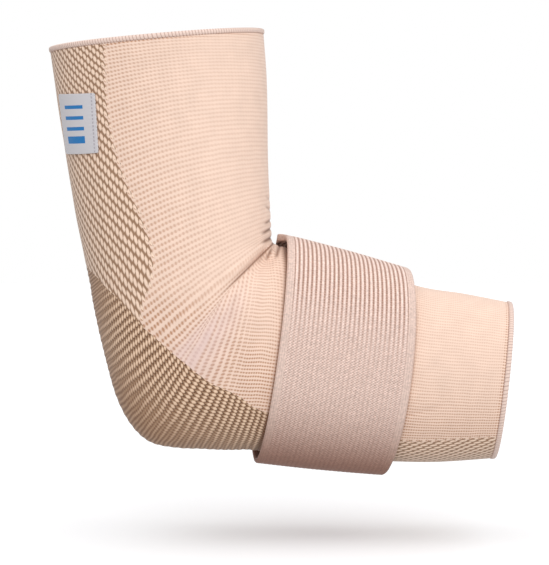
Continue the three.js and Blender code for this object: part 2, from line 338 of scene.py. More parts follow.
def strapAlong(across, angle):
    # how far down the forearm the strap lies, by the share of its width and the angle round the arm
    settings = strapSet
    up, side = np.cos(angle), np.sin(angle)
    bow = settings["skew"] * side * np.where(side > 0, strapRow("near", across), strapRow("far", across))
    past = ease(-side, 0, math.sin(math.radians(settings["sweepTurn"])))
    bow = bow - settings["sweep"] * past * (1 + up) / 2 - settings["tilt"] * strapRow("tilt", across) * up
    return settings["start"] + across * settings["width"] + bow


# Knitted tube: the same stitches run all the way down it, so their pitch follows its girth
knitSet = {
    "wales": 160,  # stitches round the tube: 1.7 mm apart on the upper arm, 1.3 mm at the wrist
    "rowsPerUnit": (200, 190, 200), "hiddenFrom": 2.14, "hiddenTo": 2.5, "hiddenRows": 40,
    "innerRows": 60, "ribDepth": 0.2, "ribShare": 0.13, "waver": 0.08, "foldFilled": 0.5,
    "wanderSize": 6.67, "patchSize": 6.25,
}
# Courses, the rows of stitches: each meets the back line at the station "back" and the inner line at
# "front", where 1 to 2 runs down the crease's upper lip and back up its lower one, and bows by "bow" mm
courseRows = {
    "back": [0, 0.25, 0.5, 0.75, 0.95, 1.1, 1.25, 1.4, 1.55, 1.7, 1.85, 2, 2.15, 2.5, 3],
    "front": [0.02, 0.21, 0.414, 0.614, 0.76, 0.862, 0.947, 1.023, 1.421, 1.655, 1.829, 1.9, 2.2, 2.52, 3],
    "bow": [2, 4.6, 6.3, 6.5, 5.9, 4.9, 4.9, 0.6, -1.4, -4.7, -5.4, -6.2, -5.1, -1, 0],
    "course": [0, 12.9, 24.3, 34.6, 42.3, 47.6, 52, 57.3, 61.5, 66.4, 71.1, 76.4, 82.1, 98.5, 124.5],
}
creaseRun = 32  # mm of crease that courses run into
# Where the patterned knit ends, as a share of the girth from the back line, by station
edgeRows = {
    "at": [0, 0.3, 0.51, 0.755, 0.91, 1.08, 1.19, 1.27, 1.36, 1.47, 1.625, 1.78, 1.93, 2.04, 2.6, 2.87, 3],
    "edge": [0.173, 0.163, 0.171, 0.197, 0.209, 0.195, 0.17, 0.163, 0.178, 0.195, 0.204, 0.189, 0.173, 0.15,
             0.12, 0.128, 0.13],
}
# Where the brown knit starts, as a station, by share of the girth
brownRows = {
    "at": [0, 0.063, 0.09, 0.124, 0.147, 0.163, 0.25], "start": [0.9, 0.945, 0.985, 1.07, 1.167, 1.27, 1.6],
}
# Pleats where the knit bunches at the inner elbow: their two ends in the plane of the bend, as X and Z,
# half width and depth, in millimetres, and how dark the painted shade in each is
pleatRows = [
    {"from": (37.2, 46.7), "to": (31.8, 44), "width": 0.6, "depth": 0.6, "shade": 0.95},
    {"from": (38, 43.1), "to": (31.8, 40), "width": 0.65, "depth": 0.6, "shade": 1.0},
    {"from": (36.8, 50.2), "to": (33, 48.3), "width": 0.6, "depth": 0.5, "shade": 0.75},
    {"from": (36.8, 53.2), "to": (33.4, 56.3), "width": 0.5, "depth": 0.3, "shade": 0.5},
    {"from": (36.8, 57.5), "to": (33.8, 60.5), "width": 0.5, "depth": 0.2, "shade": 0.35},
    {"from": (35.8, 36.8), "to": (33.9, 32.8), "width": 0.7, "depth": 0.5, "shade": 0.75},
    {"from": (39.6, 38.6), "to": (37.9, 33.6), "width": 0.75, "depth": 0.6, "shade": 0.85},
    {"from": (33.2, 35.8), "to": (31.2, 34.1), "width": 0.5, "depth": 0.3, "shade": 0.6},
    {"from": (31.9, 34.3), "to": (30.2, 31.2), "width": 0.8, "depth": 0.3, "shade": 0.25},
    {"from": (21, 17.5), "to": (17.5, 5), "width": 0.9, "depth": 0.35, "shade": 0.1},
    {"from": (92, -34), "to": (112, -29), "width": 0.8, "depth": 0.4, "shade": 0.12},
]


def pleatBite(place, pleat):
    # how far into a pleat a point is, from 0 beside it to 1 along its line
    start, end = np.array(pleat["from"]), np.array(pleat["to"])
    length = np.linalg.norm(end - start)
    away = place - start
    along = (away @ (end - start)) / length
    aside = (away[..., 0] * (end - start)[1] - away[..., 1] * (end - start)[0]) / length
    run = ease(along, -1.5, 0) * (1 - ease(along, 0.6 * length, length + 0.8))
    return np.exp(-((aside / pleat["width"]) ** 2)) * run


def pathAt(points, at):
    steps = np.linspace(0, 3, len(points))
    return np.stack([np.interp(at, steps, points[:, 0]), np.interp(at, steps, points[:, 1])], -1)


pathSteps = np.linspace(0, 3, 601)
backPath = tubePoint(pathSteps, np.pi, 0)[:, [0, 2]]
frontPath = tubePoint(pathSteps, 0, 0)[:, [0, 2]]
creaseHeading = elbowFrom + (elbowTo - elbowFrom) * foldRows["turn"][0]
creaseDown = np.minimum(pathSteps - 1, 2 - pathSteps)[:, None] * 2 * creaseRun
frontPath = np.where(creaseDown > 0, pivot + heading(creaseHeading) * creaseDown, frontPath)


def courseAt(place):
    # the course through a point in the plane of the bend, found by halving
    rows = {**courseRows, "at": courseRows["back"]}
    low, high = np.zeros(place.shape[:-1]), np.full(place.shape[:-1], 3.0)
    for _ in range(22):
        back = (low + high) / 2
        start = pathAt(frontPath, readRows(rows, "front", back))
        span = pathAt(backPath, back) - start
        length = np.linalg.norm(span, axis=-1)
        away = place - start
        along = np.clip((away * span).sum(-1) / length**2, 0, 1)
        aside = (away[..., 0] * span[..., 1] - away[..., 1] * span[..., 0]) / length
        bow = readRows(rows, "bow", back)
        isAbove = aside - bow * 4 * along * (1 - along) > 0
        low, high = np.where(isAbove, low, back), np.where(isAbove, back, high)
    return readRows(rows, "course", (low + high) / 2)


def knitGrid():
    # the stations of the knit's rows, which lie wider apart under the strap, and each row's angles
    settings = knitSet
    upper, elbow, fore = settings["rowsPerUnit"]
    shown = settings["hiddenFrom"] - 2
    stations = np.concatenate([
        np.linspace(knitTop, 1, upper, endpoint=False), np.linspace(1, 2, elbow, endpoint=False),
        np.linspace(2, settings["hiddenFrom"], round(fore * shown), endpoint=False),
        np.linspace(settings["hiddenFrom"], settings["hiddenTo"], settings["hiddenRows"], endpoint=False),
        np.linspace(settings["hiddenTo"], knitWrist, round(fore * (3 - settings["hiddenTo"]))),
    ])
    turned = np.arange(settings["wales"]) / settings["wales"]
    # even stitches round each ring: spread the angles until the arcs are equal
    fine = np.linspace(0, 2 * np.pi, 721)
    angles = np.zeros((len(stations), settings["wales"]))
    for i, station in enumerate(stations):
        ring = tubePoint(station, fine, 0)
        arc = runAlong(ring)
        angles[i] = np.interp(turned * arc[-1], arc, fine)
    return stations, angles


def knitMarks(station, angles, fromFront, place, edge):
    # contact shadows in the crease and beside the strap, and the violet blush under the crease
    reach, degrees = fromPivot(place)
    aside = reach * np.sin(np.radians(np.clip(degrees - creaseHeading, -80, 80)))
    line = np.exp(-((aside / np.where(aside < 0, 0.4, 0.55)) ** 2)) * (1 - ease(reach, 22, 38))
    shade = line * (0.8 + 0.2 * (1 - ease(reach, 2, 12)))
    down = form["foreLength"] - foreArm + (station - 2) * foreArm
    before, after = strapAlong(0, angles) - down, down - strapAlong(1, angles)
    nearTop = 1 - ease(fromFront, 0.04, 0.12)
    beside = np.exp(-((np.maximum(0, before) / (0.8 + 0.5 * nearTop)) ** 2)) * (0.75 + 0.2 * nearTop)
    behind = np.exp(-((np.maximum(0, after) / 0.7) ** 2)) * 0.45
    shade = np.maximum(shade, np.where(before > -4, beside, 0) + np.where(after > -4, behind, 0))
    blush = np.exp(-(((station - 1.5) / 0.2) ** 2) - (((fromFront - 0.25) / 0.1) ** 2)) * ease(aside, -2, 12)

    # dark stitches show most where the knit is stretched, by the patterned zones and at the hems
    nearBrown = np.exp(-(np.maximum(0, -edge) / 16) ** 2) * ease(station, 1.1, 1.35)
    contrast = 0.44 + 0.2 * np.exp(np.minimum(0, edge) / 16) + 0.6 * nearBrown
    contrast = contrast * (1 - 0.3 * ease(station, 2.45, 2.7))
    hem = np.minimum(station - knitTop, knitWrist - station) * 100
    contrast = np.minimum(0.9, contrast + 0.5 * (1 - ease(hem, 0.8, 1.6)))
    return shade, blush, contrast


def makeSleeve(material):
    settings = knitSet
    wales = settings["wales"]
    stations, angles = knitGrid()
    share = np.abs(0.5 - np.arange(wales + 1) / wales)  # of the girth from the back line
    fromFront = np.minimum(angles, 2 * np.pi - angles) / (2 * np.pi)
    station = stations[:, None] + 0 * angles
    filled = settings["foldFilled"] * foldDepth(*fromPivot(tubePoint(station, angles, 0)[..., [0, 2]]))
    place = tubePoint(station, angles, -filled)[..., [0, 2]]
    course = courseAt(place)
    edge = (readRows(edgeRows, "edge", stations)[:, None] - share[None, :wales]) * wales
    start = readRows(brownRows, "start", np.minimum(share, 0.25))[None, :wales]
    brown = np.minimum((station - start) * 45, (2.35 - station) * 50)
    isBrown = ease(edge, -1, 1) * ease(brown, -1, 1)

    # ribs over the elbow's point, pleats with painted shade at the inner elbow, and a slight unevenness
    ribs = isBrown * (1 - ease(share[None, :wales], 0.4 * settings["ribShare"], settings["ribShare"]))
    inset = settings["ribDepth"] * ribs * (0.5 + 0.5 * np.cos(2 * np.pi * course))
    shade = 0 * station
    for pleat in pleatRows:
        bite = pleatBite(place, pleat)
        inset = inset + pleat["depth"] * bite
        shade = np.maximum(shade, pleat["shade"] * bite)
    waver = np.sin(station * 21 + 3 * np.sin(angles * 2 + 1)) * np.sin(angles * 5 + station * 7)
    inset = inset + settings["waver"] * waver * ease(fromFront, 0.02, 0.1)
    outside = tubePoint(station, angles, inset - filled)

    contact, blush, contrast = knitMarks(station, angles, fromFront, place, edge)
    shade = np.maximum(shade, contact)
    innerStations = np.linspace(knitWrist, knitTop, settings["innerRows"])
    innerAngles = np.array([np.interp(innerStations, stations, angles[:, j]) for j in range(wales)]).T
    inside = tubePoint(innerStations[:, None], innerAngles, form["wall"])
    innerCourse = courseAt(inside[..., [0, 2]])
    rings = np.concatenate([outside, inside])[::-1]
    rows = len(rings)

    # the stitch map counts stitches one way and courses the other; the bake map lays the tube out flat
    wale = np.arange(wales + 1)[None, :] + np.zeros((rows + 1, 1))
    knitCourse = np.concatenate([course, innerCourse])[::-1]
    knitCourse = np.concatenate([knitCourse, knitCourse[:1]])
    knitCourse = np.concatenate([knitCourse, knitCourse[:, :1]], 1)
    span = (stations - stations[0]) / (stations[-1] - stations[0])
    lay = np.concatenate([0.01 + 0.83 * span, 0.86 + 0.13 * np.linspace(0, 1, len(innerStations))])[::-1]
    lay = np.concatenate([lay, [lay[0] + 0.005]])
    bakeMap = np.stack([0.002 + 0.996 * wale / wales, lay[:, None] + 0 * wale], -1)
    pad = np.full((len(innerStations), wales), -20.0)
    attributes = {
        "edge": np.concatenate([edge, pad])[::-1],
        "brown": np.concatenate([brown, pad])[::-1],
        "shade": np.concatenate([shade, 0 * pad])[::-1],
        "blush": np.concatenate([blush, 0 * pad])[::-1],
        "contrast": np.concatenate([contrast, 0 * pad + 0.35])[::-1],
    }
    maps = {"Knit": np.stack([wale, knitCourse], -1), "OFBake": bakeMap}
    return loftPiece("knitSleeve", rings, True, material, maps, attributes)


def spotMask(tree, wale, course, spot):
    # an oval in every stitch, or in every other one: its place, half sizes and lean are in stitches, of
    # which "fine" gives the number to each wale and course of the knit
    every = 2 if spot["staggered"] else 1
    onWale = addNode(tree, "Math", [wale, spot["fine"][0], -spot["at"][0]], operation="MULTIPLY_ADD")
    acrossWale = addNode(tree, "Math", [onWale, 0.5, -0.5], operation="WRAP")
    onCourse = addNode(tree, "Math", [course, spot["fine"][1], -spot["at"][1]], operation="MULTIPLY_ADD")
    shifted = addNode(tree, "Math", [onWale, 1.0 - every, onCourse], operation="MULTIPLY_ADD")
    acrossShifted = addNode(tree, "Math", [shifted, every / 2, -every / 2], operation="WRAP")
    acrossCourse = addNode(tree, "Math", [acrossWale, every - 1.0, acrossShifted], operation="MULTIPLY_ADD")
    leaned = addNode(tree, "Math", [acrossCourse, spot["lean"], acrossWale], operation="MULTIPLY_ADD")
    wide = addNode(tree, "Math", [leaned, spot["half"][0]], operation="DIVIDE")
    high = addNode(tree, "Math", [acrossCourse, spot["half"][1]], operation="DIVIDE")
    high2 = addNode(tree, "Math", [high, high], operation="MULTIPLY")
    reach = addNode(tree, "Math", [wide, wide, high2], operation="MULTIPLY_ADD")
    return addNode(tree, "MapRange", [reach, 1.7, 0.1], interpolation_type="SMOOTHSTEP")


# Spots that make up the knits. Plain: dark stitches, upright above the crease and flat below it.
# Open: every other stitch a pale oval. Brown: a pale oval on the broad rib with a dark hole after it
knitSpots = {
    "upright": {"at": (0.5, 0.5), "half": (0.33, 0.3), "lean": 0.5, "staggered": False, "fine": (1, 1)},
    "flat": {"at": (0.5, 0.5), "half": (0.27, 0.42), "lean": 0.0, "staggered": False, "fine": (1, 2)},
    "oval": {"at": (0.5, 0.5), "half": (0.46, 0.95), "lean": 0.22, "staggered": True, "fine": (1, 1)},
    "bead": {"at": (0.5, 0.45), "half": (0.36, 0.36), "lean": -0.5, "staggered": False, "fine": (1, 1)},
    "hole": {"at": (0.68, 0.86), "half": (0.36, 0.22), "lean": -0.4, "staggered": False, "fine": (1, 1)},
}


def knitMaterial():
    # Elastic knit in covered rubber and cotton yarn: a matt, slightly furry surface with small stitches
    # the crease colour is the dark brown of the painted shade in the crease, the pleats and beside the strap
    colours = {
        "light": linear("#f3d6c4"), "lightDash": linear("#b98564"), "blush": linear("#e9cdc8"),
        "oval": linear("#f9dcc6"), "gap": linear("#9d7a60"), "crease": linear("#855c46"),
        "bead": linear("#f5d5b9"), "rib": linear("#b69174"), "groove": linear("#866044"),
        "hole": linear("#64442d"),
    }
    settings = knitSet
    material, tree, shader = newMaterial("elasticKnitCotton")
    stitch = addNode(tree, "UVMap", uv_map="Knit")
    place = addNode(tree, "TexCoord").outputs["Object"]

    # hand of the knit: stitches wander a little off their rows
    wander = addNode(tree, "TexNoise",
                     {"Vector": place, "Scale": perMetre(settings["wanderSize"]), "Detail": 2.0})
    centred = addNode(tree, "VectorMath", [wander.outputs["Color"], (0.5, 0.5, 0.5)], operation="SUBTRACT")
    wanderBy = addNode(tree, "VectorMath", [centred, (0.6, 0.35, 0)], operation="MULTIPLY")
    wandered = addNode(tree, "VectorMath", [stitch, wanderBy], operation="ADD")
    split = addNode(tree, "SeparateXYZ", [wandered])
    wale, course = split.outputs[0], split.outputs[1]
    marks = ("edge", "brown", "shade", "blush", "contrast")
    mark = {name: addNode(tree, "Attribute", attribute_name=name).outputs["Fac"] for name in marks}
    spots = {name: spotMask(tree, wale, course, spot) for name, spot in knitSpots.items()}
    fromCourse = addNode(tree, "Math", [course, 0.5], operation="PINGPONG")

    # plain knit
    isLow = addNode(tree, "MapRange", [course, 68.0, 72.0])
    dashes = addNode(tree, "Mix", [isLow, spots["upright"], spots["flat"]])
    nearMesh = addNode(tree, "MapRange", [mark["edge"], -26.0, -4.0, 0.45])
    nearFan = addNode(tree, "MapRange", [course, 48.0, 60.0])
    dashShare = addNode(tree, "Math", [nearMesh, nearFan], operation="MAXIMUM")
    dashPart = addNode(tree, "Math", [dashes, dashShare], operation="MULTIPLY")
    fromWale = addNode(tree, "Math", [wale, 0.5], operation="PINGPONG")
    fromRow = addNode(tree, "Mix", [isLow, fromCourse, fromWale])
    rows = addNode(tree, "MapRange", [fromRow, 0.15, 0.5, 0, 0.42], interpolation_type="SMOOTHSTEP")
    dark = addNode(tree, "Math", [dashPart, rows], operation="MAXIMUM")
    darkPart = addNode(tree, "Math", [dark, mark["contrast"]], operation="MULTIPLY")
    plain = addNode(tree, "Mix", [darkPart, colours["light"], colours["lightDash"]], data_type="RGBA")
    streak = addNode(tree, "TexNoise", {"W": course, "Scale": 0.7, "Detail": 1.0}, noise_dimensions="1D")
    streakMask = addNode(tree, "MapRange", [streak, 0.2, 0.6, 0.35])
    blushMask = addNode(tree, "Math", [streakMask, mark["blush"]], operation="MULTIPLY")
    plainBlushed = addNode(tree, "Mix", [blushMask, plain, colours["blush"]], data_type="RGBA")

    # open knit
    slant = addNode(tree, "Math", [wale, course], operation="ADD")
    slantTurn = addNode(tree, "Math", [slant, 1.0, -1.0], operation="WRAP")
    fromLine = addNode(tree, "Math", [slantTurn], operation="ABSOLUTE")
    offLine = addNode(tree, "MapRange", [fromLine, 0.0, 0.5, 0.1], interpolation_type="SMOOTHSTEP")
    ovals = addNode(tree, "Math", [spots["oval"], offLine], operation="MULTIPLY")
    openKnit = addNode(tree, "Mix", [ovals, colours["gap"], colours["oval"]], data_type="RGBA")

    # brown knit: two ribs to each course, plain towards the point of the elbow
    twoRibs = addNode(tree, "Math", [course, 2.0, 0.6], operation="MULTIPLY_ADD")
    onRib = addNode(tree, "Math", [twoRibs, 0.5], operation="PINGPONG")
    ribMask = addNode(tree, "MapRange", [onRib, 0.08, 0.42], interpolation_type="SMOOTHSTEP")
    beaded = addNode(tree, "MapRange", [mark["edge"], 26.0, 6.0], interpolation_type="SMOOTHSTEP")
    beadPart = addNode(tree, "Math", [spots["bead"], beaded], operation="MULTIPLY")
    holePart = addNode(tree, "Math", [spots["hole"], beaded], operation="MULTIPLY")
    ribs = addNode(tree, "Mix", [ribMask, colours["groove"], colours["rib"]], data_type="RGBA")
    holed = addNode(tree, "Mix", [holePart, ribs, colours["hole"]], data_type="RGBA")
    brown = addNode(tree, "Mix", [beadPart, holed, colours["bead"]], data_type="RGBA")

    # zones: the open knit's border steps from one slanting line of ovals to the next
    isBrown = addNode(tree, "Math", [mark["brown"], 0.0], operation="GREATER_THAN")
    step = addNode(tree, "MapRange", [isBrown, 0, 1, 0.9, 0.0])
    edge = addNode(tree, "Math", [slantTurn, step, mark["edge"]], operation="MULTIPLY_ADD")
    isPatterned = addNode(tree, "Math", [edge, 0.0], operation="GREATER_THAN")
    patterned = addNode(tree, "Mix", [isBrown, openKnit, brown], data_type="RGBA")
    knitted = addNode(tree, "Mix", [isPatterned, plainBlushed, patterned], data_type="RGBA")
    # painted shade: contact shadows in the crease and beside the strap, and the pleats' shade, in dark brown
    shaded = addNode(tree, "Mix", [mark["shade"], knitted, colours["crease"]], data_type="RGBA")

    # uneven yarn: faint patches a few stitches wide
    patches = addNode(tree, "TexNoise",
                      {"Vector": place, "Scale": perMetre(settings["patchSize"]), "Detail": 3.0})
    uneven = addNode(tree, "MapRange", [patches, 0.3, 0.7, 0.965, 1.03])
    final = addNode(tree, "Mix", [1.0, shaded, uneven], data_type="RGBA", blend_type="MULTIPLY")
    plainHeight = addNode(tree, "MapRange", [dark, 0, 1, 1.0, 0.4])
    patternHeight = addNode(tree, "Mix", [isBrown, ovals, ribMask])
    height = addNode(tree, "Mix", [isPatterned, plainHeight, patternHeight])
    bump = addNode(tree, "Bump", {"Height": height, "Strength": 0.6, "Distance": 0.2 * mm})
    connect(tree, shader, {"Base Color": final, "Normal": bump, "Roughness": 0.85, "Sheen Weight": 0.2,
                           "Sheen Roughness": 0.5, "Specular IOR Level": 0.25})
    return material


sleeve = makeSleeve(knitMaterial())
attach(sleeve, "root")
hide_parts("sleeve")
print("sleeve made")

# Sewn rims: yarn wrapped over the knit's edge, one wrap after another
rimSet = {
    "wrapPitch": 1.3, "stepsPerWrap": 6, "wrapHeight": 0.13, "slant": 1.2, "profilePoints": 14,
    "squareness": 3.2,
}


def makeRim(name, toStation, isTop, material):
    settings = rimSet
    thick = form["wall"] + 2 * form["rimLip"]
    end = "top" if isTop else "wrist"
    wraps = round(np.pi * (form[end + "Width"] + form[end + "Depth"]) / 2 / settings["wrapPitch"])
    count = wraps * settings["stepsPerWrap"]
    angle = np.arange(count) / count * 2 * np.pi
    turn = np.arange(settings["profilePoints"]) / settings["profilePoints"] * 2 * np.pi
    phase = wraps * angle[:, None] + settings["slant"] * turn[None, :]
    swell = settings["wrapHeight"] * np.abs(np.cos(phase / 2)) - settings["wrapHeight"]
    power = 2 / settings["squareness"]
    c, s = signedPower(np.cos(turn), power), signedPower(np.sin(turn), power)
    across = form["wall"] / 2 + c[None, :] * (thick / 2 + swell)
    down = form["rimHeight"] / 2 + s[None, :] * (form["rimHeight"] / 2 + swell)
    rings = tubePoint(toStation(down), angle[:, None], across)
    if isTop:
        rings = rings[::-1]
    rows, columns = rings.shape[:2]
    i = np.arange(rows + 1)[:, None] + np.zeros((1, columns + 1))
    j = np.arange(columns + 1)[None, :] + np.zeros((rows + 1, 1))
    wrapMap = np.stack([i / settings["stepsPerWrap"], j / columns], -1)
    bakeMap = np.stack([i / rows, j / columns], -1)
    return loftPiece(name, rings, True, material, {"Wrap": wrapMap, "OFBake": bakeMap})


def rimMaterial():
    # Overlocked polyester yarn: fine wraps with a soft gloss, shaded between them
    colours = {"yarn": linear("#ead1c5"), "between": linear("#c4a699")}
    material, tree, shader = newMaterial("overlockedPolyesterYarn")
    wrap = addNode(tree, "UVMap", uv_map="Wrap")
    split = addNode(tree, "SeparateXYZ", [wrap])
    slant = addNode(tree, "Math", [split.outputs[1], 1.0, split.outputs[0]], operation="MULTIPLY_ADD")
    strand = addNode(tree, "Math", [slant, 0.5], operation="PINGPONG")
    mask = addNode(tree, "MapRange", [strand, 0.02, 0.22], interpolation_type="SMOOTHSTEP")
    colour = addNode(tree, "Mix", [mask, colours["between"], colours["yarn"]], data_type="RGBA")
    bump = addNode(tree, "Bump", {"Height": mask, "Strength": 0.5, "Distance": 0.2 * mm})
    connect(tree, shader, {"Base Color": colour, "Normal": bump, "Roughness": 0.7, "Sheen Weight": 0.15})
    return material


rimYarn = rimMaterial()
topRim = makeRim("topRimYarn", lambda down: down / upperArm, True, rimYarn)
wristRim = makeRim("wristRimYarn", lambda down: 3 - down / foreArm, False, rimYarn)
for piece, node in ((topRim, "top_rim"), (wristRim, "wrist_rim")):
    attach(piece, "root")
    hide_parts(node)
print("rims made")

# The strap's outer face in relief, and its edge by the elbow, which is rolled under just past the top
webbingSet = {
    "ribPitch": 1.87, "ribDepth": 0.32, "stepsPerRib": 5, "selvage": 3.3, "selvageRibs": 4, "stitch": 1.15,
    "lengthStep": 1.6, "roll": 1.4, "rollWidth": 5, "rollFrom": 346, "rollSpread": 15, "wanderSize": 2.38,
    "mottleSize": 0.87,
}


def strapPoint(across, degrees, out):
    settings = strapSet
    across, degrees, out = np.broadcast_arrays(*(np.asarray(v, float) for v in (across, degrees, out)))
    angle = np.radians(degrees)
    up = np.cos(angle)
    top, bottom = strapRow("top", across), strapRow("bottom", across)
    station = 2 + (strapAlong(across, angle) - (form["foreLength"] - foreArm)) / foreArm
    lift = settings["lift"] * up**2 * np.where(up > 0, top, bottom)
    rise = settings["thickness"] + settings["hookThickness"] + 2 * form["seamGap"]
    lapEnd = settings["lapFrom"] + 360
    climb = ease(degrees, lapEnd - settings["lapRamp"], lapEnd - 2)
    return tubePoint(station, angle, -(form["seamGap"] + lift + rise * climb + out))


def webbingProfile():
    # the strap's outer face rib by rib, then back along its plain inner face, in millimetres, and the full
    # height at each point of the outer one
    settings = {**strapSet, **webbingSet}
    width, thick, corner = settings["width"], settings["thickness"], settings["corner"]
    body = width - 2 * settings["selvage"]
    ribs = round(body / settings["ribPitch"])
    across = np.linspace(corner, width - corner, (ribs + 8) * settings["stepsPerRib"])
    inBody = np.clip((across - settings["selvage"]) / body, 0, 1)
    rib = 0.5 - 0.5 * np.cos(2 * np.pi * inBody * ribs)
    fromEdge = np.minimum(across, width - across)
    fine = 0.5 - 0.5 * np.cos(2 * np.pi * fromEdge / settings["selvage"] * settings["selvageRibs"])
    isBody = fromEdge > settings["selvage"]
    height = thick - settings["ribDepth"] * np.where(isBody, 1 - rib**0.7, 0.35 + 0.3 * (1 - fine))
    back = np.linspace(width - corner, corner, 40)
    edge = np.stack([width - np.array([0.15, 0, 0, 0.15]), thick * np.array([0.8, 0.6, 0.35, 0.12])], -1)
    otherEdge = np.stack([width - edge[::-1, 0], edge[::-1, 1]], -1)
    outer, inner = np.stack([across, height], -1), np.stack([back, 0 * back], -1)
    profile = np.concatenate([outer, edge, inner, otherEdge])
    return profile, np.where(np.arange(len(profile)) < len(across), thick, 0)[None, :]


def makeBand(name, profile, fullHeight, fromDegrees, toDegrees, lengthStep, material, mapName, pitch):
    # a band wound from one angle to another; away from the top its relief flattens to its full height
    about = strapSet["aboutGirth"] * (toDegrees - fromDegrees) / 360
    turns = np.linspace(fromDegrees, toDegrees, max(8, round(about / lengthStep)))
    fromTop = np.abs((turns + 180) % 360 - 180)[:, None] + np.zeros((1, len(profile)))
    relief = np.where(fullHeight > 0, (fullHeight - profile[None, :, 1]) * 0.75 * ease(fromTop, 42, 92), 0)
    settings = webbingSet
    isInner = (profile[:, 1] < 0.4 * strapSet["thickness"]) & (fullHeight[0] == 0)
    rolled = isInner * (1 - ease(profile[:, 0], 0.4 * settings["rollWidth"], settings["rollWidth"]))
    past = np.exp(-((((turns - settings["rollFrom"] + 180) % 360 - 180) / settings["rollSpread"]) ** 2))
    roll = settings["roll"] * rolled[None, :] * past[:, None] * (1 if mapName == "Weave" else 0)
    out = profile[None, :, 1] + relief - roll
    rings = strapPoint(profile[None, :, 0] / strapSet["width"], turns[:, None], out)
    length = runAlong(strapPoint(0.5, turns, 1))
    # the weave map counts widths and stitches; the bake map lays the band out by its length and girth
    around = np.concatenate([profile, profile[:1]])
    run = runAlong(around)
    weave = np.stack(np.broadcast_arrays(around[None, :, 0] / pitch[0], length[:, None] / pitch[1]), -1)
    bake = np.stack(np.broadcast_arrays(length[:, None] / length[-1], run[None] / run[-1]), -1)
    # drawn tight over the top, where the ribs stand apart, and painted shade where it turns under the arm
    attributes = {"ribbed": 1 - ease(fromTop, 42, 92), "under": ease(fromTop, 100, 172)}
    piece = loftPiece(name, rings, False, material, {mapName: weave, "OFBake": bake}, attributes)
    return piece, float(length[-1])


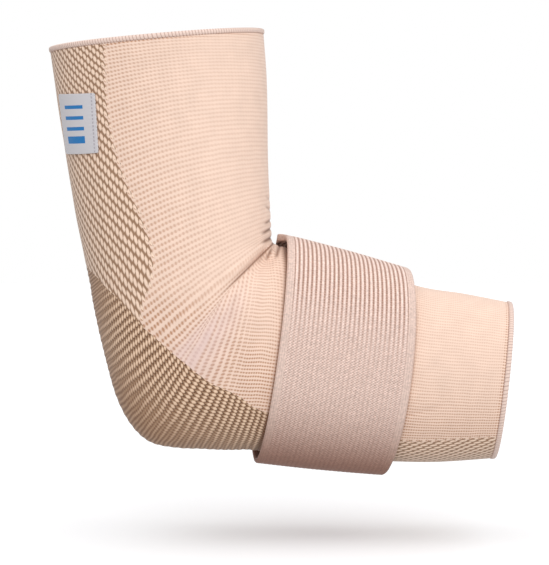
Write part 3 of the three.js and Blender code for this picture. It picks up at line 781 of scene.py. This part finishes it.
def webbingMaterial():
    # Woven elastic webbing: warp ribs along its length, small floats along each, and dense selvages
    colours = {
        "rib": linear("#f3d9ce"), "groove": linear("#a07866"), "float": linear("#f9e5dc"),
        "selvage": linear("#e2c8bc"), "under": linear("#9f7763"),
    }
    material, tree, shader = newMaterial("wovenElasticWebbing")
    settings = {**strapSet, **webbingSet}
    weave = addNode(tree, "UVMap", uv_map="Weave")
    ribbed = addNode(tree, "Attribute", attribute_name="ribbed").outputs["Fac"]
    under = addNode(tree, "Attribute", attribute_name="under").outputs["Fac"]
    split = addNode(tree, "SeparateXYZ", [weave])
    across, along = split.outputs[0], split.outputs[1]
    bodyFrom = settings["selvage"] / settings["width"]
    ribs = round((settings["width"] - 2 * settings["selvage"]) / settings["ribPitch"])
    inBody = addNode(tree, "MapRange", [across, bodyFrom, 1 - bodyFrom, 0, float(ribs)], clamp=False)
    fromGroove = addNode(tree, "Math", [inBody, 0.5], operation="PINGPONG")
    ribMask = addNode(tree, "MapRange", [fromGroove, 0.05, 0.42], interpolation_type="SMOOTHSTEP")
    nearGroove = addNode(tree, "Math", [inBody, 0.5], operation="ADD")
    grooveNumber = addNode(tree, "Math", [nearGroove], operation="FLOOR")
    place = addNode(tree, "TexCoord").outputs["Object"]
    wander = addNode(tree, "TexNoise", {"Vector": place, "Scale": perMetre(settings["wanderSize"])})
    wandered = addNode(tree, "Math", [wander, 0.7, along], operation="MULTIPLY_ADD")
    step = addNode(tree, "Math", [grooveNumber, 0.5, wandered], operation="MULTIPLY_ADD")
    stitches = addNode(tree, "Math", [step, 0.5], operation="PINGPONG")
    stitchMask = addNode(tree, "MapRange", [stitches, 0.12, 0.4], interpolation_type="SMOOTHSTEP")
    floatOnRib = addNode(tree, "Math", [stitchMask, ribMask], operation="MULTIPLY")

    # away from the top the grooves close, and the short dark stitches in them are left
    grooveOpen = addNode(tree, "MapRange", [ribbed, 0, 1, 0.1, 0.8])
    stitchDark = addNode(tree, "MapRange", [ribbed, 0, 1, 0.22, 0.32])
    grooveDark = addNode(tree, "Math", [stitchMask, stitchDark, grooveOpen], operation="MULTIPLY_ADD")
    grooveMask = addNode(tree, "Math", [ribMask, -1.0, 1.0], operation="MULTIPLY_ADD")
    groovePart = addNode(tree, "Math", [grooveMask, grooveDark], operation="MULTIPLY")
    ribColour = addNode(tree, "Mix", [groovePart, colours["rib"], colours["groove"]], data_type="RGBA")
    # painted shade also dims the pale floats where the strap turns under the arm
    floatFade = addNode(tree, "MapRange", [under, 0, 1, 0.3, 0.1])
    floatPart = addNode(tree, "Math", [floatOnRib, floatFade], operation="MULTIPLY")
    bodyLight = addNode(tree, "Mix", [floatPart, ribColour, colours["float"]], data_type="RGBA")

    # and a fine twill shows there, whose diagonals cross
    falling = addNode(tree, "Math", [inBody, 1.25, wandered], operation="MULTIPLY_ADD")
    rising = addNode(tree, "Math", [inBody, -1.25, wandered], operation="MULTIPLY_ADD")
    onFalling = addNode(tree, "Math", [falling, 0.5], operation="PINGPONG")
    onRising = addNode(tree, "Math", [rising, 0.5], operation="PINGPONG")
    crossed = addNode(tree, "Math", [onRising, 0.6, onFalling], operation="MULTIPLY_ADD")
    twillMask = addNode(tree, "MapRange", [crossed, 0.25, 0.6], interpolation_type="SMOOTHSTEP")
    twillDark = addNode(tree, "MapRange", [ribbed, 0, 1, 0.62, 0.0])
    twillPart = addNode(tree, "Math", [twillMask, twillDark], operation="MULTIPLY")
    bodyWoven = addNode(tree, "Mix", [twillPart, bodyLight, colours["groove"]], data_type="RGBA")

    # selvages: fine plain ribs
    low = addNode(tree, "Math", [inBody, 0.0], operation="LESS_THAN")
    high = addNode(tree, "Math", [inBody, float(ribs)], operation="GREATER_THAN")
    isSelvage = addNode(tree, "Math", [low, high], operation="MAXIMUM")
    fineRow = addNode(tree, "Math", [inBody, 0.25], operation="PINGPONG")
    fineMask = addNode(tree, "MapRange", [fineRow, 0.0, 0.16, 0.78])
    selvage = addNode(tree, "Mix", [fineMask, colours["groove"], colours["selvage"]], data_type="RGBA")
    colour = addNode(tree, "Mix", [isSelvage, bodyWoven, selvage], data_type="RGBA")

    # a fine mottle of yarn
    mottle = addNode(tree, "TexNoise",
                     {"Vector": place, "Scale": perMetre(settings["mottleSize"]), "Detail": 2.0})
    mottled = addNode(tree, "MapRange", [mottle, 0.3, 0.7, 0.82, 1.13])
    # painted shade: the strap's colour darkens where it turns under the arm
    turned = addNode(tree, "Mix", [under, colour, colours["under"]], data_type="RGBA", blend_type="MULTIPLY")
    final = addNode(tree, "Mix", [1.0, turned, mottled], data_type="RGBA", blend_type="MULTIPLY")
    height = addNode(tree, "Mix", [isSelvage, floatPart, fineMask])
    bump = addNode(tree, "Bump", {"Height": height, "Strength": 0.5, "Distance": 0.2 * mm})
    connect(tree, shader, {"Base Color": final, "Normal": bump, "Roughness": 0.75, "Sheen Weight": 0.15,
                           "Specular IOR Level": 0.25})
    return material


lapEnd = strapSet["lapFrom"] + 360 + strapSet["lapTurn"]
weavePitch = (strapSet["width"], webbingSet["stitch"])
strap, strapLength = makeBand("webbingStrap", *webbingProfile(), strapSet["lapFrom"], lapEnd,
                              webbingSet["lengthStep"], webbingMaterial(), "Weave", weavePitch)
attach(strap, "root")
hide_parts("strap")
print("strap made")


def hookMaterial():
    # Nylon hook tape: a matt field of tiny hooks in staggered rows
    colours = {"hook": linear("#c9aa9e"), "ground": linear("#7d6156")}
    material, tree, shader = newMaterial("nylonHookTape")
    weave = addNode(tree, "UVMap", uv_map="Hooks")
    dots = addNode(tree, "TexVoronoi", {"Vector": weave, "Scale": 1.0, "Randomness": 0.3}, feature="F1")
    mask = addNode(tree, "MapRange", [dots, 0.5, 0.15], interpolation_type="SMOOTHSTEP")
    colour = addNode(tree, "Mix", [mask, colours["ground"], colours["hook"]], data_type="RGBA")
    bump = addNode(tree, "Bump", {"Height": mask, "Strength": 0.8, "Distance": 0.4 * mm})
    connect(tree, shader, {"Base Color": colour, "Normal": bump, "Roughness": 0.8})
    return material


hookLow = strapSet["thickness"] + form["seamGap"]
hookWidth = strapSet["width"] - 2 * strapSet["hookMargin"]
hookAcross = strapSet["hookMargin"] + np.linspace(0, hookWidth, 24)
hookHigh = hookLow + strapSet["hookThickness"]
hookProfile = np.concatenate([
    np.stack([hookAcross, 0 * hookAcross + hookHigh], -1),
    np.stack([hookAcross[::-1], 0 * hookAcross + hookLow], -1),
])
hookFrom = strapSet["lapFrom"] + strapSet["hookInset"]
hookTo = strapSet["lapFrom"] + strapSet["lapTurn"] - strapSet["hookInset"]
hookPatch, _ = makeBand("hookTapePatch", hookProfile, np.zeros((1, 1)), hookFrom, hookTo,
                        strapSet["hookStep"], hookMaterial(), "Hooks", strapSet["hookPitch"])
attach(hookPatch, "root")
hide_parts("hook_patch")
print("hook patch made")

# Label: a satin ribbon sewn to the back of the upper arm, 6.5 mm wider towards the back than the solid
labelSet = {
    "width": 24, "height": 24.5, "drop": 21, "inset": 14.5, "thickness": 0.7,
    "cellsWide": 38, "cellsHigh": 40, "crimpPitch": 1.6, "crimp": 0.22, "turn": 5, "corner": 0.9,
    "rounding": 0.18,
    # as shares of the label: where the stripes lie, across and by height, and the seam, with half widths
    "stripesAcross": (0.48, 0.25), "stripes": [(0.78, 0.03), (0.6, 0.03), (0.42, 0.03), (0.235, 0.06)],
    "seam": (0.93, 0.015), "seamStitch": 0.03, "threads": 60,
}


def backArc(station, distance):
    # the angle that lies a given way round from the back of the arm
    fine = np.linspace(np.pi, 0, 721)
    return np.interp(distance, runAlong(tubePoint(station, fine, 0)), fine)


def labelMaterial():
    # Satin ribbon of polyester: smooth, a soft gloss along fine cross threads, with plain woven stripes
    colours = {"ribbon": linear("#cfccd0"), "stripe": linear("#1d76b8"), "seam": linear("#b3adb3")}
    material, tree, shader = newMaterial("satinRibbonPolyester")
    place = addNode(tree, "UVMap", uv_map="Label")
    split = addNode(tree, "SeparateXYZ", [place])
    across, up = split.outputs[0], split.outputs[1]
    fromMiddle = addNode(tree, "Math", [across, *labelSet["stripesAcross"]], operation="COMPARE")
    printed = None
    for middle, half in labelSet["stripes"]:
        stripe = addNode(tree, "Math", [up, middle, half], operation="COMPARE")
        printed = addNode(tree, "Math", [printed, stripe], operation="MAXIMUM") if printed else stripe
    inside = addNode(tree, "Math", [printed, fromMiddle], operation="MULTIPLY")
    seamRow = addNode(tree, "Math", [across, *labelSet["seam"]], operation="COMPARE")
    seamDash = addNode(tree, "Math", [up, labelSet["seamStitch"]], operation="PINGPONG")
    isDash = addNode(tree, "Math", [seamDash, 0.4 * labelSet["seamStitch"]], operation="GREATER_THAN")
    seam = addNode(tree, "Math", [seamRow, isDash], operation="MULTIPLY")
    ribbon = addNode(tree, "Mix", [seam, colours["ribbon"], colours["seam"]], data_type="RGBA")
    colour = addNode(tree, "Mix", [inside, ribbon, colours["stripe"]], data_type="RGBA")
    threads = addNode(tree, "Math", [up, labelSet["threads"]], operation="MULTIPLY")
    thread = addNode(tree, "Math", [threads, 0.5], operation="PINGPONG")
    bump = addNode(tree, "Bump", {"Height": thread, "Strength": 0.25, "Distance": 0.1 * mm})
    connect(tree, shader, {"Base Color": colour, "Normal": bump, "Roughness": 0.45,
                           "Specular IOR Level": 0.35})
    return material


def makeLabel(material):
    settings = labelSet
    cells = {"x_subdivisions": settings["cellsWide"], "y_subdivisions": settings["cellsHigh"]}
    bpy.ops.mesh.primitive_grid_add(**cells, size=2)
    piece = bpy.context.object
    piece.name = piece.data.name = "satinLabel"
    mesh = piece.data
    flat = np.array([v.co[:] for v in mesh.vertices])
    across, down = (flat[:, 0] + 1) / 2, (1 - flat[:, 1]) / 2
    middle = (settings["drop"] + settings["height"] / 2) / upperArm
    # the free long edge is crimped
    crimped = np.sin(2 * np.pi * down * settings["height"] / settings["crimpPitch"])
    # rounded corners, and the whole label a little turned
    wide, high = (across - 0.5) * settings["width"], (down - 0.5) * settings["height"]
    spareWide = np.maximum(0, np.abs(wide) - settings["width"] / 2 + settings["corner"])
    spareHigh = np.maximum(0, np.abs(high) - settings["height"] / 2 + settings["corner"])
    over = np.maximum(0, np.hypot(spareWide, spareHigh) / settings["corner"] - 1)
    wide = wide - np.sign(wide) * over * spareWide * 0.7
    high = high - np.sign(high) * over * spareHigh * 0.7
    wide = wide + settings["crimp"] * crimped * ease(across, 0.8, 1)
    turn = math.radians(settings["turn"])
    aside = wide * math.cos(turn) - high * math.sin(turn)
    below = high * math.cos(turn) + wide * math.sin(turn)
    distance = settings["inset"] + settings["width"] / 2 + aside
    out = form["seamGap"] + 0.12 + 0.25 * np.sin(np.pi * across) * np.sin(np.pi * down) ** 0.5
    out = out + 0.12 * ease(across, 0.8, 0.9) * crimped
    station = (settings["drop"] + settings["height"] / 2 + below) / upperArm
    points = tubePoint(station, backArc(middle, distance), -out) * mm
    for vertex, point in zip(mesh.vertices, points):
        vertex.co = point
    uv = mesh.uv_layers.active
    uv.name = "Label"
    for loop in mesh.loops:
        uv.data[loop.index].uv = (across[loop.vertex_index], 1 - down[loop.vertex_index])
    mesh.materials.append(material)
    mesh.update()
    if sum((p.normal.y > 0) for p in mesh.polygons) > len(mesh.polygons) / 2:
        mesh.flip_normals()
    thickness = piece.modifiers.new("thickness", "SOLIDIFY")
    thickness.thickness = settings["thickness"] * mm
    thickness.offset = 1
    rounding = piece.modifiers.new("rounding", "BEVEL")
    rounding.width = settings["rounding"] * mm
    rounding.segments = 2
    rounding.angle_limit = math.radians(50)
    bpy.context.view_layer.objects.active = piece
    bpy.ops.object.modifier_apply(modifier=thickness.name)
    bpy.ops.object.modifier_apply(modifier=rounding.name)
    bpy.ops.object.shade_smooth_by_angle(angle=math.radians(40))
    bpy.ops.object.select_all(action="DESELECT")
    return piece


label = makeLabel(labelMaterial())
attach(label, "root")
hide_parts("label")
print("label made")

# Floor and soft studio light
stageSet = {
    "floorHeight": -89, "floorSize": 3, "floorTilt": 2.2, "floorColour": "#f9fafc", "floorGlow": 0.13,
    "fill": 0.56,
}


def floorMaterial():
    # Matt white acrylic sweep, lit a little from beneath so that it looks pure white round the shadow
    material, tree, shader = newMaterial("mattWhiteAcrylic")
    connect(tree, shader, {
        "Base Color": linear(stageSet["floorColour"]), "Roughness": 1, "Specular IOR Level": 0,
        "Emission Color": (1, 1, 1, 1), "Emission Strength": stageSet["floorGlow"],
    })
    return material


bpy.ops.mesh.primitive_plane_add(size=stageSet["floorSize"], location=(0, 0, stageSet["floorHeight"] * mm))
floor = bpy.context.object
floor.name = "floor"
floor.rotation_euler.x = math.radians(stageSet["floorTilt"])
floor.data.materials.append(floorMaterial())
floor.visible_diffuse = False

lightSet = {
    "key": {"towards": (-0.1, 0.97, -0.22), "strength": 1.27, "spread": 45},
    "top": {"towards": (-0.02, 0.02, -1.0), "strength": 1.2, "spread": 86},
    "side": {"towards": (-0.85, 0.45, -0.25), "strength": 0.35, "spread": 60},
}
for name, settings in lightSet.items():
    bpy.ops.object.light_add(type="SUN")
    lamp = bpy.context.object
    lamp.name = name
    lamp.data.energy = settings["strength"]
    lamp.data.angle = math.radians(settings["spread"])
    lamp.rotation_euler = Vector(settings["towards"]).to_track_quat("-Z", "Y").to_euler()

world = bpy.data.worlds.new("whiteStudio")
scene.world = world
world.use_nodes = True
worldTree = world.node_tree
fill = worldTree.nodes["Background"]
connect(worldTree, fill, {"Color": (1, 1, 1, 1), "Strength": stageSet["fill"]})
seen = addNode(worldTree, "Background", {"Color": (1, 1, 1, 1), "Strength": 1.0})
ray = addNode(worldTree, "LightPath")
both = addNode(worldTree, "MixShader", [ray.outputs["Is Camera Ray"], fill, seen])
connect(worldTree, worldTree.nodes["World Output"], {"Surface": both})
scene.view_settings.view_transform = "Standard"
print("stage and lights made")

bpy.ops.object.select_all(action="DESELECT")
